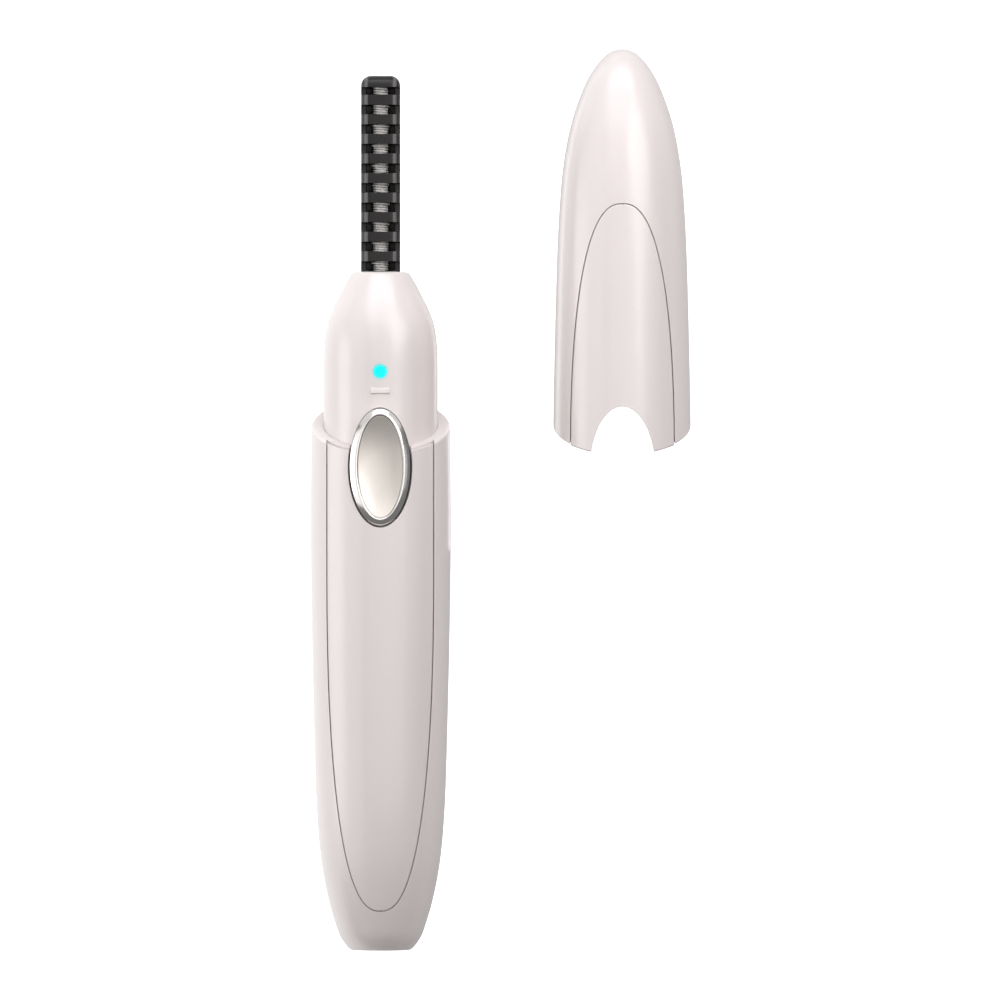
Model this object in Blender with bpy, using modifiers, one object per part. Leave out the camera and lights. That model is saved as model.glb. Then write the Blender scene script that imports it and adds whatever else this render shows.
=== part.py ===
"""Battery heated eyelash curler: handle, capped comb head and everything inside.

Both loose pieces lie side by side on a flat surface. +Y runs along the body from its
flat end to the tip of the comb, +Z points out of the button, +X towards the cap.
The origin is the centre of the flat end. Dimensions are in millimetres until they
reach MM, the scale to metres.
"""

import math

import bmesh
import bpy

MM = 0.001

# Driving dimensions, in millimetres
RIM_Y = 78.75              # where the slanted joint line crosses the body's axis
RIM_SLANT = math.radians(22)
RIM_GAP = 0.2              # between the two rims when the cap is on
NECK_RADIUS = 8.55
NECK_WALL = 1.3
NECK_TOP_Y = 101.7
NECK_BOTTOM_Y = 55.0
SLIP_GAP = 0.3             # between pieces that slide over each other
TRIM_GAP = 0.15            # round trim let into a shell
PANEL_THICKNESS = 0.55

CAP_X = 36.2               # the cap lies this far to the right of the body
CAP_Z = -0.19              # its smaller radius puts its axis lower
CAP_LIFT = 0.5             # how much lower it lies than it sits when pushed on
CAP_TIP_Y = 135.15
ARCH_Y = 71.92             # centre of the oval arch in its rim, as it lies
ARCH_HALF_WIDTH = 4.89
ARCH_HALF_LENGTH = 9.54

OVAL_Y = 72.45             # the oval power button and its bright bezel
OVAL_HALF_WIDTH = 4.5
OVAL_HALF_LENGTH = 8.78
BEZEL_WIDTH = 1.05
BEZEL_TOP_Z = 10.8
BEZEL_FLOOR_Z = (6.2, 6.8)
BUTTON_RIM_Z = 10.55
BUTTON_DISH = 0.95
BUTTON_UNDERSIDE_Z = 9.0
PLUNGER_RADIUS = 1.3
PLUNGER_END_Z = 5.8

PANEL_EXPONENT = 2.45      # the U outlines are half superellipses
HANDLE_PANEL = {"half_width": 8.0, "length": 52.5, "centre_y": 58.5}
CAP_PANEL = {"half_width": 7.8, "length": 39.75, "centre_y": 72.0}

COMB_HALF = (3.0, 2.6)     # half width across the bars, half depth
COMB_BOTTOM_Y = 97.3
COMB_TIP_Y = 131.1
COMB_ROUNDING = 1.0
BAR_COUNT = 9
BAR_PITCH = 2.932
BAR_HEIGHT = 1.5
TOP_BAR_Y = 127.47
WINDOW_HALF_WIDTH = 2.2
WINDOW_FLOOR_Z = -1.6      # the guard is closed behind its windows
RAIL_TOP_Z = 1.35          # the rails are set back between the bars
HEATER_BORE_RADIUS = 1.45

WIRE_RADIUS = 0.14
WIRE_COIL_RADIUS = 1.0
WIRE_PITCH = 0.44
WIRE_START_Y = 101.2
HEATER_TIP_Y = 129.0
HEATER_CORE_RADIUS = 0.66

BATTERY_RADIUS = 5.25      # a standard AAA cell, 10.5 x 44.5
BATTERY_Y = (13.7, 58.2)
CHASSIS_RADIUS = 6.4
CHASSIS_Y = (9.0, 60.3)
CHASSIS_END_WALL = 1.2
CHASSIS_OPEN_Z = 1.0
TRAY_HALF_WIDTH = 4.6
TRAY_Z = (0.6, 1.9)
TRAY_END_Y = 90.0

BOARD_Z = (2.2, 3.2)
BOARD_Y = (61.3, 91.5)
PART_Z = 3.3               # underside of what is soldered to the board
LED_Y = 86.7
LED_RADIUS = 0.98
SCREW_PLACES = {"pcb_screw_lower": (3.2, 63.6), "pcb_screw_upper": (-3.2, 89.0)}

# Outer radii of the three shells, as (Y, radius), measured from the flat end
HANDLE_OUTLINE = (
    (96.0, 10.10), (80.0, 10.38), (72.0, 10.49), (64.0, 10.54), (56.0, 10.48),
    (46.5, 10.33), (37.5, 10.13), (29.5, 9.92), (22.5, 9.68), (16.5, 9.27),
    (12.5, 8.80), (9.0, 8.15), (6.0, 7.42), (3.6, 6.68), (1.7, 5.90), (0.6, 5.10),
    (0.0, 4.60),
)
CAP_OUTLINE = (
    (CAP_TIP_Y, 0.0), (135.0, 1.0), (134.55, 2.0), (133.8, 2.9), (132.4, 4.05),
    (130.5, 5.2), (128.0, 6.28), (124.5, 7.45), (121.0, 8.25), (117.0, 8.88),
    (112.0, 9.32), (104.0, 9.72), (95.0, 9.98), (85.0, 10.20), (74.0, 10.36),
    (64.0, 10.45),
)
NECK_OUTLINE = (
    (NECK_TOP_Y, 4.2), (100.8, 4.76), (99.0, 5.74), (97.3, 6.62), (95.8, 7.32),
    (94.2, 7.90), (92.4, 8.28), (90.4, 8.48), (88.2, NECK_RADIUS),
)
HANDLE_CAVITY = (
    (2.2, 0.0), (2.2, 4.3), (4.3, 5.4), (7.5, 6.6), (11.0, 7.35), (16.0, 8.0),
    (23.0, 8.4), (32.0, 8.65), (45.0, 8.85), (96.0, 8.85),
)
CAP_CAVITY = (
    (64.0, 8.85), (89.0, 8.85), (94.0, 8.62), (102.0, 8.35), (110.0, 8.0),
    (117.0, 7.45), (122.5, 6.65), (126.5, 5.6), (129.5, 4.3), (131.6, 2.7),
    (132.4, 0.0),
)

SHELL_STEPS = 40
SMALL_STEPS = 20
OVAL_STEPS = 36

for leftover in list(bpy.data.objects):
    bpy.data.objects.remove(leftover, do_unlink=True)

parts = bpy.data.collections.new("eyelash_curler")
cutters = bpy.data.collections.new("cutters")
bpy.context.scene.collection.children.link(parts)
bpy.context.scene.collection.children.link(cutters)


def principled(name, colour, roughness, metallic=0.0):
    """A plain Principled material."""
    material = bpy.data.materials.new(name)
    material.use_nodes = True
    shader = material.node_tree.nodes["Principled BSDF"]
    shader.inputs["Base Color"].default_value = (*colour, 1.0)
    shader.inputs["Roughness"].default_value = roughness
    shader.inputs["Metallic"].default_value = metallic
    return material


PEARL = {"colour": (0.66, 0.60, 0.59), "roughness": 0.35}
CHROME = {"colour": (0.80, 0.78, 0.77), "roughness": 0.12, "metallic": 1.0}
SATIN = {"colour": (0.62, 0.56, 0.52), "roughness": 0.32, "metallic": 0.6}
BLACK = {"colour": (0.012, 0.012, 0.014), "roughness": 0.35}
STEEL = {"colour": (0.55, 0.55, 0.56), "roughness": 0.3, "metallic": 1.0}
BRASS = {"colour": (0.70, 0.52, 0.25), "roughness": 0.3, "metallic": 1.0}
CREAM = {"colour": (0.75, 0.72, 0.66), "roughness": 0.5}
BOARD_GREEN = {"colour": (0.02, 0.16, 0.07), "roughness": 0.45}
CYAN = {"colour": (0.02, 0.75, 0.85), "roughness": 0.15}
RED = {"colour": (0.45, 0.03, 0.03), "roughness": 0.4}
CELL = {"colour": (0.18, 0.20, 0.24), "roughness": 0.35, "metallic": 0.4}


def new_object(name, mesh, look=None):
    """Put a mesh in the scene, as a part with a look or as a cutter without one."""
    made = bpy.data.objects.new(name, mesh)
    if look is None:
        cutters.objects.link(made)
        made.hide_render = True
        made.display_type = "WIRE"
        return made
    parts.objects.link(made)
    mesh.materials.clear()
    mesh.materials.append(principled(name, **look))
    return made


def shade(made, angle=35):
    """Smooth the round faces and keep the edges sharper than angle."""
    made.data.shade_smooth()
    made.data.set_sharp_from_angle(angle=math.radians(angle))


def turned(name, outline, look=None, steps=SHELL_STEPS, place=(0, 0, 0), ring=False):
    """A body of revolution about +Y from (y, radius) points, outer side first.

    A ring's outline closes on itself, any other starts and ends on the axis.
    """
    mesh = bpy.data.meshes.new(name)
    points = [(radius * MM, 0.0, y * MM) for y, radius in outline]
    edges = [(i, i + 1) for i in range(len(points) - 1)]
    if ring:
        edges.append((len(points) - 1, 0))
    mesh.from_pydata(points, edges, [])
    made = new_object(name, mesh, look)
    made.rotation_euler = (-math.pi / 2, 0, 0)
    made.location = [value * MM for value in place]
    screw = made.modifiers.new("turn", "SCREW")
    screw.axis = "Z"
    screw.steps = steps
    screw.render_steps = steps
    screw.use_merge_vertices = True
    screw.merge_threshold = 0.00001
    screw.use_smooth_shade = True
    return made


def boolean(made, other, operation="DIFFERENCE"):
    """Cut, join or trim a part with another object."""
    modifier = made.modifiers.new(other.name, "BOOLEAN")
    modifier.object = other
    modifier.operation = operation
    modifier.solver = "EXACT"
    return made


def block(name, low, high, look=None, rounding=0.0, segments=2):
    """A box between two corners, with optional rounded edges."""
    mesh = bpy.data.meshes.new(name)
    box = bmesh.new()
    bmesh.ops.create_cube(box, size=1.0)
    for vertex in box.verts:
        for axis in range(3):
            middle = (low[axis] + high[axis]) / 2
            length = high[axis] - low[axis]
            vertex.co[axis] = (middle + vertex.co[axis] * length) * MM
    box.to_mesh(mesh)
    box.free()
    made = new_object(name, mesh, look)
    if rounding:
        bevel = made.modifiers.new("rounding", "BEVEL")
        bevel.width = rounding * MM
        bevel.segments = segments
        bevel.limit_method = "NONE"
        shade(made)
    return made


def rod(name, centre, radius, span, look=None, axis="Z", steps=SMALL_STEPS):
    """A cylinder along one axis: centre is its place across that axis, span its ends."""
    mesh = bpy.data.meshes.new(name)
    cylinder = bmesh.new()
    bmesh.ops.create_cone(
        cylinder, cap_ends=True, segments=steps, radius1=radius * MM,
        radius2=radius * MM, depth=(span[1] - span[0]) * MM,
    )
    cylinder.to_mesh(mesh)
    cylinder.free()
    made = new_object(name, mesh, look)
    middle = (span[0] + span[1]) / 2
    if axis == "Z":
        made.location = (centre[0] * MM, centre[1] * MM, middle * MM)
    else:
        made.location = (centre[0] * MM, middle * MM, centre[1] * MM)
        made.rotation_euler = (-math.pi / 2, 0, 0)
    shade(made)
    return made


def as_mesh(curve_object, look=None):
    """Replace a curve object by its welded mesh."""
    name = curve_object.name
    graph = bpy.context.evaluated_depsgraph_get()
    mesh = bpy.data.meshes.new_from_object(curve_object.evaluated_get(graph))
    matrix = curve_object.matrix_world.copy()
    curve = curve_object.data
    bpy.data.objects.remove(curve_object, do_unlink=True)
    bpy.data.curves.remove(curve)
    welded = bmesh.new()
    welded.from_mesh(mesh)
    bmesh.ops.remove_doubles(welded, verts=welded.verts, dist=0.000005)
    bmesh.ops.recalc_face_normals(welded, faces=welded.faces)
    welded.to_mesh(mesh)
    welded.free()
    made = new_object(name, mesh, look)
    made.matrix_world = matrix
    return made


def slab(name, outline, z_low, z_high, look=None):
    """An upright prism on an (x, y) outline."""
    curve = bpy.data.curves.new(name, "CURVE")
    curve.dimensions = "2D"
    curve.fill_mode = "BOTH"
    curve.extrude = (z_high - z_low) / 2 * MM
    spline = curve.splines.new("POLY")
    spline.points.add(len(outline) - 1)
    for point, (x, y) in zip(spline.points, outline):
        point.co = (x * MM, y * MM, 0, 1)
    spline.use_cyclic_u = True
    made = bpy.data.objects.new(name, curve)
    bpy.context.scene.collection.objects.link(made)
    made.location.z = (z_low + z_high) / 2 * MM
    bpy.context.view_layer.update()
    return as_mesh(made, look)


def wire(name, points, radius, look, resolution=1):
    """A round wire through the points, with closed ends."""
    curve = bpy.data.curves.new(name, "CURVE")
    curve.dimensions = "3D"
    curve.bevel_depth = radius * MM
    curve.bevel_resolution = resolution
    curve.use_fill_caps = True
    spline = curve.splines.new("POLY")
    spline.points.add(len(points) - 1)
    for point, place in zip(spline.points, points):
        point.co = (place[0] * MM, place[1] * MM, place[2] * MM, 1)
    made = bpy.data.objects.new(name, curve)
    bpy.context.scene.collection.objects.link(made)
    bpy.context.view_layer.update()
    made = as_mesh(made, look)
    shade(made, 60)
    return made


def coil_points(radii, ends, turns, per_turn, axis="Y", centre=(0.0, 0.0)):
    """Points of a coil whose radius runs between two values along Y or Z."""
    count = int(turns * per_turn)
    points = []
    for step in range(count + 1):
        share = step / count
        angle = 2 * math.pi * turns * share
        radius = radii[0] + (radii[1] - radii[0]) * share
        along = ends[0] + (ends[1] - ends[0]) * share
        across = (
            centre[0] + radius * math.cos(angle),
            centre[1] + radius * math.sin(angle),
        )
        if axis == "Y":
            points.append((across[0], along, across[1]))
        else:
            points.append((across[0], across[1], along))
    return points


def oval(half_width, half_length, centre_y=OVAL_Y, centre_x=0.0):
    """Points of an ellipse, anticlockwise seen from +Z."""
    turn = [2 * math.pi * i / OVAL_STEPS for i in range(OVAL_STEPS)]
    return [
        (centre_x + half_width * math.cos(a), centre_y + half_length * math.sin(a))
        for a in turn
    ]


def oval_loft(name, sections, look, closed):
    """Skin ellipses given as (half width, half length, z), from first to last.

    A closed loft joins its last section to its first, as round a ring; any other
    has its end sections filled.
    """
    mesh = bpy.data.meshes.new(name)
    skin = bmesh.new()
    rings = [
        [skin.verts.new((x * MM, y * MM, z * MM)) for x, y in oval(width, length)]
        for width, length, z in sections
    ]
    pairs = list(zip(rings, rings[1:]))
    if closed:
        pairs.append((rings[-1], rings[0]))
    for lower, upper in pairs:
        for i in range(OVAL_STEPS):
            j = (i + 1) % OVAL_STEPS
            skin.faces.new((lower[i], lower[j], upper[j], upper[i]))
    if not closed:
        skin.faces.new(list(reversed(rings[0])))
        skin.faces.new(rings[-1])
    bmesh.ops.recalc_face_normals(skin, faces=skin.faces)
    skin.to_mesh(mesh)
    skin.free()
    made = new_object(name, mesh, look)
    shade(made)
    return made


def u_outline(shape, grow, towards, far_y, centre_x=0.0):
    """A U: straight sides from far_y to its centre, then half a superellipse."""
    half_width = shape["half_width"] + grow
    length = shape["length"] + grow
    steps = 22
    points = [(half_width, far_y)]
    for i in range(steps + 1):
        angle = math.pi * i / steps
        x = abs(math.cos(angle)) ** (2 / PANEL_EXPONENT) * half_width
        y = math.sin(angle) ** (2 / PANEL_EXPONENT) * length
        points.append((math.copysign(x, math.cos(angle)), shape["centre_y"] + towards * y))
    points.append((-half_width, far_y))
    return [(centre_x + x, y) for x, y in points]


def offset(outline, distance):
    """The same (y, radius) outline with its radii changed."""
    return [(y, radius + distance) for y, radius in outline]


def stretch(outline, low_y, high_y):
    """An outline's points between two heights."""
    return [point for point in outline if low_y <= point[0] <= high_y]


def slanted_block(name, side, crossing_y, centre_x=0.0, centre_z=0.0):
    """A cutter that takes everything on one side (+1 above, -1 below) of a rim plane."""
    reach = 60.0
    made = block(name, (-20, min(0, side * reach), -30), (20, max(0, side * reach), 30))
    made.rotation_euler = (RIM_SLANT, 0, 0)
    made.location = (centre_x * MM, crossing_y * MM, centre_z * MM)
    return made


def build_handle():
    """The sleeve that covers the battery, and the U panel let into its front."""
    outline = HANDLE_CAVITY + HANDLE_OUTLINE + ((0.0, 0.0),)
    shell = turned("handle_shell", outline, PEARL)
    rim = slanted_block("handle_rim_cutter", +1, RIM_Y)
    notch = slab(
        "handle_notch_cutter",
        oval(OVAL_HALF_WIDTH + SLIP_GAP, OVAL_HALF_LENGTH + SLIP_GAP), 2.0, 14.0,
    )
    skin = stretch(HANDLE_OUTLINE, 3.0, 100.0)
    ring = offset(skin, 1.5) + offset(skin, -PANEL_THICKNESS - TRIM_GAP)[::-1]
    pocket = turned("handle_pocket_cutter", ring, ring=True)
    outline = u_outline(HANDLE_PANEL, TRIM_GAP, -1, 92.0)
    boolean(pocket, slab("handle_pocket_prism", outline, 0.5, 16.0), "INTERSECT")
    for cutter in (rim, notch, pocket):
        boolean(shell, cutter)

    ring = skin + offset(skin, -PANEL_THICKNESS)[::-1]
    panel = turned("front_panel", ring, PEARL, ring=True)
    outline = u_outline(HANDLE_PANEL, -TRIM_GAP, -1, 94.0)
    boolean(panel, slab("panel_prism", outline, 0.8, 16.0), "INTERSECT")
    boolean(panel, rim)
    boolean(panel, notch)


def build_cap():
    """The cap lying beside the body, and the U panel let into its front."""
    place = (CAP_X, 0, CAP_Z)
    shell = turned("cap_shell", CAP_OUTLINE + CAP_CAVITY, PEARL, place=place)
    rim = slanted_block("cap_rim_cutter", -1, RIM_Y + RIM_GAP - CAP_LIFT, CAP_X, CAP_Z)
    arch = slab(
        "cap_arch_cutter",
        oval(ARCH_HALF_WIDTH, ARCH_HALF_LENGTH, ARCH_Y, CAP_X), 2.0, 14.0,
    )
    skin = stretch(CAP_OUTLINE, 60.0, 120.0)
    ring = offset(skin, 1.5) + offset(skin, -PANEL_THICKNESS - TRIM_GAP)[::-1]
    pocket = turned("cap_pocket_cutter", ring, place=place, ring=True)
    outline = u_outline(CAP_PANEL, TRIM_GAP, +1, 60.0, CAP_X)
    boolean(pocket, slab("cap_pocket_prism", outline, 0.5, 16.0), "INTERSECT")
    for cutter in (rim, arch, pocket):
        boolean(shell, cutter)

    ring = skin + offset(skin, -PANEL_THICKNESS)[::-1]
    panel = turned("cap_panel", ring, PEARL, place=place, ring=True)
    outline = u_outline(CAP_PANEL, -TRIM_GAP, +1, 58.0, CAP_X)
    boolean(panel, slab("cap_panel_prism", outline, 0.8, 16.0), "INTERSECT")
    boolean(panel, rim)
    boolean(panel, arch)


def build_neck():
    """The housing between handle and comb, with its grip ring."""
    groove_y = (56.8, 58.3)
    groove_radius = NECK_RADIUS - 0.85
    outside = (
        (groove_y[1], NECK_RADIUS), (groove_y[1], groove_radius),
        (groove_y[0], groove_radius), (groove_y[0], NECK_RADIUS),
        (NECK_BOTTOM_Y, NECK_RADIUS),
    )
    bore = NECK_RADIUS - NECK_WALL
    inside = (
        (NECK_BOTTOM_Y, bore), (89.5, bore), (92.4, 6.95), (95.0, 6.3), (97.5, 5.25),
        (99.2, 4.35), (100.2, 3.95), (100.2, 0.0),
    )
    outline = ((NECK_TOP_Y, 0.0),) + NECK_OUTLINE + outside + inside
    neck = turned("neck_housing", outline, PEARL)
    comb_hole = block(
        "comb_hole_cutter",
        (-COMB_HALF[0] - 0.2, 96.0, -COMB_HALF[1] - 0.2),
        (COMB_HALF[0] + 0.2, 106.0, COMB_HALF[1] + 0.2),
        rounding=COMB_ROUNDING, segments=3,
    )
    oval_hole = slab(
        "bezel_hole_cutter",
        oval(OVAL_HALF_WIDTH + TRIM_GAP, OVAL_HALF_LENGTH + TRIM_GAP), 2.0, 12.0,
    )
    lens_hole = rod("lens_hole_cutter", (0, LED_Y), LED_RADIUS + 0.12, (4.0, 12.0))
    for cutter in (comb_hole, oval_hole, lens_hole):
        boolean(neck, cutter)
    mark = block(
        "raised_mark_cutter", (-1.45, 83.3, 7.9), (1.45, 84.3, NECK_RADIUS + 0.16),
        rounding=0.12,
    )
    boolean(neck, mark, "UNION")
    ring_middle = (groove_y[0] + groove_y[1]) / 2
    circle = [
        (ring_middle + 0.38 * math.cos(a), NECK_RADIUS - 0.36 + 0.38 * math.sin(a))
        for a in [2 * math.pi * i / 6 for i in range(6)]
    ]
    turned("grip_ring", circle, BLACK, steps=32, ring=True)


def build_button():
    """The bezel cup, the dished button with its plunger, and the return spring."""
    width = OVAL_HALF_WIDTH
    length = OVAL_HALF_LENGTH
    inner_width = width - BEZEL_WIDTH
    inner_length = length - BEZEL_WIDTH
    hole = PLUNGER_RADIUS + SLIP_GAP
    low, floor = BEZEL_FLOOR_Z
    top = BEZEL_TOP_Z
    oval_loft(
        "button_bezel",
        [
            (width, length, low), (width, length, top - 0.35),
            (width - 0.12, length - 0.12, top - 0.1), (width - 0.35, length - 0.35, top),
            (inner_width + 0.15, inner_length + 0.15, top - 0.08),
            (inner_width, inner_length, top - 0.3), (inner_width, inner_length, floor),
            (hole, hole, floor), (hole, hole, low),
        ],
        CHROME, closed=True,
    )
    width = inner_width - TRIM_GAP
    length = inner_length - TRIM_GAP
    rim = BUTTON_RIM_Z
    dish = [
        (width * share, length * share, rim - BUTTON_DISH * (1 - share ** 2))
        for share in (0.92, 0.75, 0.5, 0.25)
    ]
    oval_loft(
        "power_button",
        [
            (PLUNGER_RADIUS, PLUNGER_RADIUS, PLUNGER_END_Z),
            (PLUNGER_RADIUS, PLUNGER_RADIUS, BUTTON_UNDERSIDE_Z),
            (width, length, BUTTON_UNDERSIDE_Z), (width, length, rim - 0.15),
            (width - 0.12, length - 0.12, rim),
        ] + dish,
        SATIN, closed=False,
    )
    spring_ends = (BEZEL_FLOOR_Z[1] + 0.25, BUTTON_UNDERSIDE_Z - 0.25)
    turns = coil_points((2.1, 2.1), spring_ends, 3.5, 12, "Z", (0.0, OVAL_Y))
    wire("button_spring", turns, 0.16, STEEL)


def build_switch():
    """The tact switch under the plunger: a base with a well and its actuator."""
    base = block(
        "tact_switch_base", (-3.0, OVAL_Y - 3.0, PART_Z), (3.0, OVAL_Y + 3.0, 4.8),
        BLACK, rounding=0.2,
    )
    boolean(base, rod("actuator_well_cutter", (0, OVAL_Y), 1.35, (3.75, 6.0)))
    rod("tact_actuator", (0, OVAL_Y), 1.1, (4.45, 5.5), CREAM)


def build_board():
    """The circuit board, what is soldered to it, and its two screws."""
    half = TRAY_HALF_WIDTH
    board = block(
        "circuit_board", (-half, BOARD_Y[0], BOARD_Z[0]), (half, BOARD_Y[1], BOARD_Z[1]),
        BOARD_GREEN,
    )
    for name, place in SCREW_PLACES.items():
        boolean(board, rod(name + "_board_hole", place, 0.75, (1.0, 5.0)))
        head_top = PART_Z + 0.6
        profile = [
            (head_top, 0.0), (head_top, 0.75), (head_top - 0.15, 0.95), (PART_Z, 0.95),
            (PART_Z, 0.5), (TRAY_Z[0] - 0.5, 0.5), (TRAY_Z[0] - 0.8, 0.0),
        ]
        screw = turned(name, profile, STEEL, steps=16)
        screw.rotation_euler = (0, 0, 0)
        screw.location = (place[0] * MM, place[1] * MM, 0)
        slot = block(
            name + "_slot_cutter", (place[0] - 1.2, place[1] - 0.12, head_top - 0.25),
            (place[0] + 1.2, place[1] + 0.12, head_top + 0.5),
        )
        boolean(screw, slot)
    block("led_chip", (-0.8, LED_Y - 0.6, PART_Z), (0.8, LED_Y + 0.6, 4.2), CREAM, 0.1)
    lens = [
        (8.66, 0.0), (8.66, 0.6), (8.56, LED_RADIUS), (4.9, LED_RADIUS), (4.9, 0.0),
    ]
    led_lens = turned("led_lens", lens, CYAN, steps=24)
    led_lens.rotation_euler = (0, 0, 0)
    led_lens.location = (0, LED_Y * MM, 0)
    block("controller_chip", (-2.0, 78.2, PART_Z), (2.0, 82.2, 4.2), BLACK, 0.15)
    rod("capacitor", (-2.9, 65.9), 1.25, (PART_Z, 5.6), CELL)
    for name, x in (("resistor_left", -3.6), ("resistor_right", 3.6)):
        block(name, (x - 0.4, 78.4, PART_Z), (x + 0.4, 80.4, 3.9), BLACK, 0.1)
    rod("thermal_fuse", (3.2, PART_Z + 0.85), 0.8, (82.6, 88.0), CREAM, axis="Y")


def build_chassis():
    """The open battery trough with its end walls, and the tray under the board."""
    bottom, top = CHASSIS_Y
    wall = CHASSIS_END_WALL
    chassis = rod("battery_chassis", (0, 0), CHASSIS_RADIUS, CHASSIS_Y, BLACK, "Y", 32)
    bore = rod(
        "battery_bore_cutter", (0, 0), BATTERY_RADIUS + 0.2,
        (bottom + wall, top - wall), axis="Y", steps=32,
    )
    opening = block(
        "battery_opening_cutter", (-9, bottom + wall, CHASSIS_OPEN_Z), (9, top - wall, 9),
    )
    tray = block(
        "tray_cutter", (-TRAY_HALF_WIDTH, top - 0.4, TRAY_Z[0]),
        (TRAY_HALF_WIDTH, TRAY_END_Y, TRAY_Z[1]),
    )
    boolean(chassis, bore)
    boolean(chassis, opening)
    boolean(chassis, tray, "UNION")
    for name, place in SCREW_PLACES.items():
        boolean(chassis, rod(name + "_tray_hole", place, 0.75, (-1.0, 2.5)))


def build_battery():
    """The AAA cell and the contacts at its two ends."""
    low, high = BATTERY_Y
    radius = BATTERY_RADIUS
    cell = [
        (high, 0.0), (high, 1.7), (high - 0.15, 1.9), (high - 0.9, 1.9),
        (high - 0.9, radius - 0.4), (high - 1.3, radius), (low + 0.3, radius),
        (low, radius - 0.3), (low, 0.0),
    ]
    turned("battery", cell, CELL, steps=32)
    spring_ends = (CHASSIS_Y[0] + CHASSIS_END_WALL + 0.35, low - 0.35)
    wire("negative_spring", coil_points((3.6, 2.2), spring_ends, 4, 14), 0.25, STEEL)
    contact_y = high + 0.3
    block("positive_contact", (-2.3, contact_y, -2.3), (2.3, contact_y + 0.3, 2.3), BRASS)
    strip_z = -CHASSIS_RADIUS - 0.25
    block(
        "negative_strip", (-1.25, CHASSIS_Y[0] + 1.0, strip_z - 0.3),
        (1.25, CHASSIS_Y[1] + 1.0, strip_z), BRASS,
    )


def build_comb():
    """The comb guard, its windows, the wound heater inside it and the socket."""
    guard = block(
        "comb_guard",
        (-COMB_HALF[0], COMB_BOTTOM_Y, -COMB_HALF[1]),
        (COMB_HALF[0], COMB_TIP_Y, COMB_HALF[1]),
        BLACK, rounding=COMB_ROUNDING, segments=3,
    )
    gap = BAR_PITCH - BAR_HEIGHT
    middles = [TOP_BAR_Y - BAR_PITCH * (i + 0.5) for i in range(BAR_COUNT)]
    windows = [(middle - gap / 2, middle + gap / 2) for middle in middles]
    top_edge = TOP_BAR_Y + BAR_HEIGHT / 2
    windows.append((top_edge, top_edge + 1.05))
    for number, (low, high) in enumerate(windows):
        boolean(guard, block(
            f"window_cutter_{number}", (-WINDOW_HALF_WIDTH, low, WINDOW_FLOOR_Z),
            (WINDOW_HALF_WIDTH, high, 4),
        ))
        boolean(guard, block(
            f"set_back_cutter_{number}", (-4, low, RAIL_TOP_Z), (4, high, 4),
        ))
    bore = rod(
        "heater_bore_cutter", (0, 0), HEATER_BORE_RADIUS, (COMB_BOTTOM_Y - 1, 129.2),
        axis="Y", steps=16,
    )
    boolean(guard, bore)

    core_low = COMB_BOTTOM_Y + 0.3
    rod("heater_core", (0, 0), HEATER_CORE_RADIUS, (core_low, HEATER_TIP_Y - 0.1),
        CREAM, axis="Y", steps=12)
    wire_ends = (WIRE_START_Y, HEATER_TIP_Y - 0.3)
    turns = round((wire_ends[1] - wire_ends[0]) / WIRE_PITCH)
    radii = (WIRE_COIL_RADIUS, WIRE_COIL_RADIUS)
    points = coil_points(radii, wire_ends, turns, 5)
    wire("heater_wire", points, WIRE_RADIUS, STEEL, resolution=0)

    turned(
        "comb_socket",
        [(97.0, 0.0), (97.0, 4.5), (96.7, 4.7), (95.4, 4.7), (95.4, 0.0)],
        BLACK, steps=24,
    )
    for name, x in (("lead_wire_left", -1.8), ("lead_wire_right", 1.8)):
        route = [
            (x, 88.6, 3.75), (x, 90.6, 3.75), (x, 92.2, 3.2), (x, 93.6, 1.9),
            (x, 94.5, 0.9), (x, 95.1, 0.6),
        ]
        wire(name, route, 0.3, RED)


build_handle()
build_cap()
build_neck()
build_button()
build_switch()
build_board()
build_chassis()
build_battery()
build_comb()
bpy.context.view_layer.update()
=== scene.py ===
import math

import bmesh
import bpy
import numpy as np
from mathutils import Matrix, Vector


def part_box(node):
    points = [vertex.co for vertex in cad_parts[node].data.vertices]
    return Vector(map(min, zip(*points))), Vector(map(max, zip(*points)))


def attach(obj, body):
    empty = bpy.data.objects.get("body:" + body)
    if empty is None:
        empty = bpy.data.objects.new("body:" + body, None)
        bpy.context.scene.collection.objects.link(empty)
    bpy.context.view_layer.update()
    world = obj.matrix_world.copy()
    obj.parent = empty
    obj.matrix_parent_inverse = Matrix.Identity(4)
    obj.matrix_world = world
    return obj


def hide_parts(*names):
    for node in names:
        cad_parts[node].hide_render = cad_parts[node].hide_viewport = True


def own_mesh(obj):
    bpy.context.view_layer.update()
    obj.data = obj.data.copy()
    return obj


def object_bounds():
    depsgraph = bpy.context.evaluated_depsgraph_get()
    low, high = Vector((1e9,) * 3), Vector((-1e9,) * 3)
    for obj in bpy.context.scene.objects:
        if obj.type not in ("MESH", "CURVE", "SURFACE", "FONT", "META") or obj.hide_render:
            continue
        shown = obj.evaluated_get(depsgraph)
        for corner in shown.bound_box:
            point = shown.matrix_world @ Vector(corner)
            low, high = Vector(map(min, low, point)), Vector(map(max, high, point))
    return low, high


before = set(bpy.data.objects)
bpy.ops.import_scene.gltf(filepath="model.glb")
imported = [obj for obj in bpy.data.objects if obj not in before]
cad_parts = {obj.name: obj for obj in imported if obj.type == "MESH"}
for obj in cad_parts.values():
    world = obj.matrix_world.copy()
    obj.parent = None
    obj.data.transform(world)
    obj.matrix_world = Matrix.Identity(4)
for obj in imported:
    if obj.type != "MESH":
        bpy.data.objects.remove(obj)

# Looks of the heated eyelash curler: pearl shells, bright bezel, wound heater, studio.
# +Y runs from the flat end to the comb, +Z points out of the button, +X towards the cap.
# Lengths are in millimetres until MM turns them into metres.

MM = 0.001
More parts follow.
